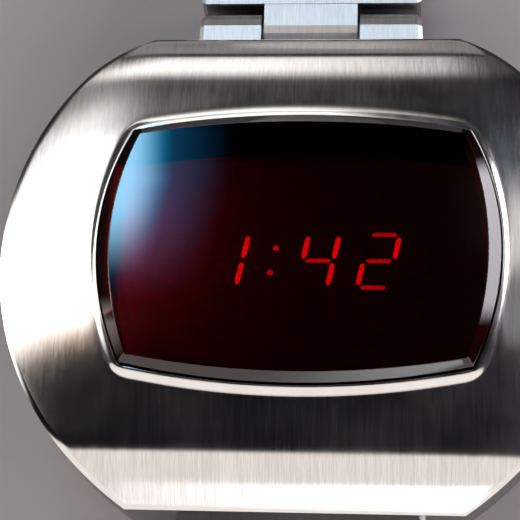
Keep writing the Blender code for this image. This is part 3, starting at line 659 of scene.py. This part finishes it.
def make_shade_sheet(under):
    """A black sheet under the crystal's 12 o'clock edge: painted shade."""
    shade_sheet = bmesh.new()
    upper = []
    lower = []
    side = CRYSTAL_CORNER[0] + SHADE_SHEET_OVERHANG
    for x in spread(side, -side, SHADE_SHEET_POINTS):
        edge = (x / side) ** 2
        upper.append((x, CRYSTAL_CORNER[1] + CRYSTAL_BULGE[1] * (1 - edge) - SHADE_SHEET_INSET))
        lower.append((x, SHADE_SHEET_EDGE - SHADE_SHEET_BOW * edge))
    outline = upper + lower[::-1]
    bottom, top = [[shade_sheet.verts.new((x, y, under + rise)) for x, y in outline] for rise in SHADE_SHEET_LEVELS]
    for i in range(len(outline)):
        shade_sheet.faces.new((bottom[i - 1], bottom[i], top[i], top[i - 1]))
    for i in range(SHADE_SHEET_POINTS - 1):
        mirror = 2 * SHADE_SHEET_POINTS - 1 - i
        shade_sheet.faces.new((top[i], top[i + 1], top[mirror - 1], top[mirror]))
        shade_sheet.faces.new((bottom[i], bottom[i + 1], bottom[mirror - 1], bottom[mirror]))
    bmesh.ops.recalc_face_normals(shade_sheet, faces=shade_sheet.faces)
    # A black sheet of painted shade
    add_piece("crystal_edge_paint", shade_sheet, [BLACK], HEAD)


def make_ground():
    """The dark red floor round the digits. Returns its height."""
    low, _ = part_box("hours_units_digit")
    height = low.z + TILE_THICKNESS + GROUND_RISE
    outline = barrel(-WINDOW_INSET - GROUND_INSET)
    shape = loft([level(outline, height - GROUND_THICKNESS), level(outline, height)])
    add_piece("display_floor", shape, [GROUND], HEAD)
    return height


# Digits

DIGIT_HEIGHT = 3.65 * MM  # between the middles of the top and bottom bars
DIGIT_WIDTH = 2.1 * MM  # between the middles of the left and right bars
SLANT = math.tan(math.radians(12))
UPRIGHT = (0.35 * MM, 1.52 * MM)  # width and length of a bar
LEVEL = (0.23 * MM, 1.74 * MM)
UPRIGHT_POWER = 6  # how square a bar's ends are
LEVEL_POWER = 16
BAR_SIDE_POINTS = 13
BAR_THICKNESS = 0.12 * MM
BAR_TOP = (0.9, 0.97)  # the size of its top along X and Y, as shares of its foot's
UNLIT_THICKNESS = 0.03 * MM
TILE_GAP = 0.01 * MM
COLON_Y = 0.85 * MM
COLON_DOT = (0.22 * MM, 0.17 * MM)  # half its width and half its height
COLON_POINTS = 24
SEGMENTS = {  # each bar's middle, in half widths and half heights of the digit, and whether it is upright
    "a": ((0, 1), False),
    "b": ((1, 0.5), True),
    "c": ((1, -0.5), True),
    "d": ((0, -1), False),
    "e": ((-1, -0.5), True),
    "f": ((-1, 0.5), True),
    "g": ((0, 0), False),
}
LIT = {
    "hours_tens_digit": "",
    "hours_units_digit": "bc",
    "minutes_tens_digit": "bcfg",
    "minutes_units_digit": "abdeg",
}


def bar_outline(width, length, is_upright):
    """Half a bar's width on each side of its middle line, with round ends."""
    outline = []
    power = UPRIGHT_POWER if is_upright else LEVEL_POWER
    for side in (1, -1):
        for t in spread(-1, 1, BAR_SIDE_POINTS):
            along = side * t * length / 2
            swell = (1 - abs(t) ** power) ** 0.5
            across = side * width / 2 * swell
            outline.append((across, along) if is_upright else (along, -across))
    return outline


def add_bar(shape, outline, low, high, material):
    """A bar with a slightly narrower top, added to shape."""
    middle_x = sum(x for x, y in outline) / len(outline)
    middle_y = sum(y for x, y in outline) / len(outline)
    share_x, share_y = BAR_TOP
    top_outline = []
    for x, y in outline:
        top_outline.append((middle_x + (x - middle_x) * share_x, middle_y + (y - middle_y) * share_y))
    levels = ((outline, low), (outline, (low + high) / 2), (top_outline, high))
    loops = [[shape.verts.new((x, y, z)) for x, y in points] for points, z in levels]
    faces = [shape.faces.new(loops[0]), shape.faces.new(loops[-1])]
    for lower, upper in zip(loops, loops[1:]):
        for i in range(len(outline)):
            faces.append(shape.faces.new((lower[i - 1], lower[i], upper[i], upper[i - 1])))
    for face in faces:
        face.material_index = material


def make_digits(ground):
    """Each digit's tile and seven bars, lit or dark."""
    dark, bright, dim = 0, 1, 2
    for node, lit in LIT.items():
        box_low, box_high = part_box(node)
        middle = (box_low.x + box_high.x) / 2
        shape = box(box_low, (box_high.x, box_high.y, ground - GROUND_RISE - TILE_GAP))
        for name, (centre, is_upright) in SEGMENTS.items():
            width, length = UPRIGHT if is_upright else LEVEL
            outline = []
            for x, y in bar_outline(width, length, is_upright):
                y += centre[1] * DIGIT_HEIGHT / 2
                x += centre[0] * DIGIT_WIDTH / 2
                outline.append((middle + x + y * SLANT, y))
            is_lit = name in lit
            thickness = BAR_THICKNESS if is_lit else UNLIT_THICKNESS
            material = dark
            if is_lit:
                material = bright if is_upright else dim
            add_bar(shape, outline, ground, ground + thickness, material)
        bmesh.ops.recalc_face_normals(shape, faces=shape.faces)
        digit = add_piece(f"{node}_bars", shape, [UNLIT, LED_BRIGHT, LED_DIM], HEAD)
        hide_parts(node)


def make_colon(ground):
    """The colon's tile and its two lit dots, one above the other along the digits' slant."""
    lit = 1
    box_low, box_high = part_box("colon")
    middle = (box_low.x + box_high.x) / 2
    shape = box(box_low, (box_high.x, box_high.y, ground - GROUND_RISE - TILE_GAP))
    half_width, half_height = COLON_DOT
    for y in (COLON_Y, -COLON_Y):
        outline = []
        for a in spread(0, 2 * math.pi, COLON_POINTS + 1)[:-1]:
            outline.append((middle + y * SLANT + half_width * math.cos(a), y + half_height * math.sin(a)))
        add_bar(shape, outline, ground, ground + BAR_THICKNESS, lit)
    bmesh.ops.recalc_face_normals(shape, faces=shape.faces)
    colon = add_piece("colon_dots", shape, [UNLIT, LED_DOT], HEAD)
    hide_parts("colon")


# Stage


def make_floor():
    shape = bmesh.new()
    bmesh.ops.create_circle(shape, cap_ends=True, segments=96, radius=FLOOR_RADIUS)
    mesh = bpy.data.meshes.new("floor")
    shape.to_mesh(mesh)
    shape.free()
    made, tree, shader = new_material("floor_pale")
    texture = noise(tree, stretched(tree), 60, 3)
    base = mixed(tree, texture, (0.325, 0.303, 0.30, 1), (0.355, 0.331, 0.328, 1))
    feed(tree, shader, base_color=base, roughness=0.7, specular_ior_level=0.1)
    mesh.materials.append(made)
    floor = bpy.data.objects.new("floor", mesh)
    bpy.context.scene.collection.objects.link(floor)


def light_window(tree, across, along, across_range, along_range, soft):
    """1 inside a rectangle of two angles, in degrees, easing to 0 over soft degrees at each border."""
    shares = []
    for angle, (low, high), (soft_low, soft_high) in zip((across, along), (across_range, along_range), soft):
        rise = ramp(tree, angle, low - soft_low / 2, low + soft_low / 2)
        fall = ramp(tree, angle, high - soft_high / 2, high + soft_high / 2, 1.0, 0.0)
        shares.append(maths(tree, "MULTIPLY", rise, fall))
    return maths(tree, "MULTIPLY", *shares)


# Each light: colour, strength, two ranges in degrees, and over how many degrees their ends fade.

# Overhead: degrees to the right and degrees towards 12 o'clock, both from straight up
OVERHEAD = (
    ((1.0, 0.985, 0.97), 2.2, (-76, -16), (7.4, 43), ((4, 11), (4, 3))),
    ((1.0, 0.985, 0.97), 2.6, (-76, -30), (43, 52), ((4, 30), (3, 8))),
    ((1.0, 0.62, 0.38), 0.6, (-76, -14), (4.8, 10.5), ((4, 14), (4, 8))),
    ((1.0, 0.98, 0.96), 2.4, (-50, 0), (60.5, 85), ((24, 16), (21, 3))),
    ((1.0, 0.96, 0.93), 1.05, (9, 60), (19, 34), ((14, 14), (9, 10))),
    ((0.95, 0.97, 1.0), 0.3, (9, 60), (5.5, 16), ((14, 14), (3, 6))),
    ((1.0, 0.92, 0.88), 1.25, (-75, 60), (-89, -27), ((12, 20), (1, 4))),
    ((0.88, 0.95, 1.0), 3.2, (2, 50), (-76, -52), ((34, 20), (4, 4))),
)
# Seen in the crystal's left end: degrees to the right out of the upright plane, then as overhead.
# Below GLOW_LEAN_FROM degrees its borders lean to the left, by GLOW_LEAN of each degree.
GLOW_LEAN_FROM = 32.0
GLOW_LEAN = 0.055
GLOW = (
    ((1.0, 0.6, 0.2), 5.2, (-10.9, -8.8), (21.0, 42.5), ((0.6, 1.5), (15, 3))),
    ((0.01, 0.54, 0.95), 15.0, (-10.9, -8.65), (21.2, 42.5), ((0.6, 1.9), (15, 3))),
    ((0.03, 0.4, 1.0), 3.0, (-10.9, -7.7), (18.0, 42.5), ((0.6, 4.6), (18, 3))),
)
# Low down: degrees around from 12 o'clock towards the left, and height
LOW = (
    ((1.0, 0.97, 0.95), 2.0, (62, 96), (17, 30), ((12, 12), (3, 6))),
    ((0.96, 0.93, 1.0), 7.5, (-118, -48), (0.6, 21), ((8, 6), (1, 6))),
)


def make_world():
    world = bpy.data.worlds.new("studio")
    bpy.context.scene.world = world
    world.use_nodes = True
    tree = world.node_tree
    place = add_node(tree, "TexCoord").outputs["Generated"]
    x, y, z = add_node(tree, "SeparateXYZ", {0: place}).outputs
    degrees = 180 / math.pi
    right = maths(tree, "MULTIPLY", maths(tree, "ARCTAN2", x, z), degrees)
    far = maths(tree, "MULTIPLY", maths(tree, "ARCTAN2", y, z), degrees)
    sideways = maths(tree, "MULTIPLY", maths(tree, "ARCSINE", x), degrees)
    below = maths(tree, "MAXIMUM", maths(tree, "SUBTRACT", GLOW_LEAN_FROM, far), 0.0)
    sideways = maths(tree, "ADD", sideways, maths(tree, "MULTIPLY", below, GLOW_LEAN))
    left = maths(tree, "MULTIPLY", x, -1.0)
    around = maths(tree, "MULTIPLY", maths(tree, "ARCTAN2", left, y), degrees)
    height = maths(tree, "MULTIPLY", maths(tree, "ARCSINE", z), degrees)
    room = ramp(tree, height, 2, 40, 0.9, 0.0)
    colour = mixed(tree, room, (0.004, 0.0035, 0.005, 1), (0.045, 0.044, 0.045, 1))
    for lights, first, second in ((OVERHEAD, right, far), (GLOW, sideways, far), (LOW, around, height)):
        for tone, strength, across, along, soft in lights:
            share = light_window(tree, first, second, across, along, soft)
            light = [c * strength for c in tone]
            scaled = add_node(tree, "VectorMath", {0: light, "Scale": share}, operation="SCALE").outputs[0]
            colour = add_node(tree, "VectorMath", {0: colour, 1: scaled}, operation="ADD").outputs[0]
    tree.links.new(colour, tree.nodes["Background"].inputs["Color"])


def make_camera():
    data = bpy.data.cameras.new("camera")
    data.sensor_width = 36
    data.lens = data.sensor_width * CAMERA_DISTANCE / FRAME_WIDTH
    data.clip_start = 0.01
    data.clip_end = 10
    camera = bpy.data.objects.new("camera", data)
    bpy.context.scene.collection.objects.link(camera)
    back = Vector((math.tan(CAMERA_RIGHT), -math.tan(CAMERA_BELOW), 1)).normalized()
    right = Vector((0, 1, 0)).cross(back).normalized()
    up = back.cross(right)
    turn = Matrix.Rotation(CAMERA_ROLL, 3, back)
    right = turn @ right
    up = turn @ up
    target = Vector((0, 0, FRONT_HEIGHT))
    place = target + back * CAMERA_DISTANCE
    aim = target - right * AIM_LEFT - up * AIM_DOWN
    away = (place - aim).normalized()
    right = up.cross(away).normalized()
    up = away.cross(right)
    camera.matrix_world = Matrix.Translation(place) @ Matrix((right, up, away)).transposed().to_4x4()
    bpy.context.scene.camera = camera


make_camera()
make_world()
make_floor()
bpy.context.scene.view_settings.view_transform = "Standard"

for row in frame["record"]["subparts"]:
    node = frame["nodes"][row["node"]]
    node.data.materials.clear()
    node.data.materials.append(NODE_MATERIALS[row["material_slot"]])
frame["nodes"]["light_sensor"].data.materials[0] = UNLIT

case = make_case()
carve_case(case)
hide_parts("case_body")
make_crystal()
crystal_low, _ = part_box("crystal")
under_crystal = crystal_low.z - BAFFLE_GAP
make_baffle(under_crystal)
make_mask()
make_shade_sheet(under_crystal)
ground = make_ground()
make_digits(ground)
make_colon(ground)
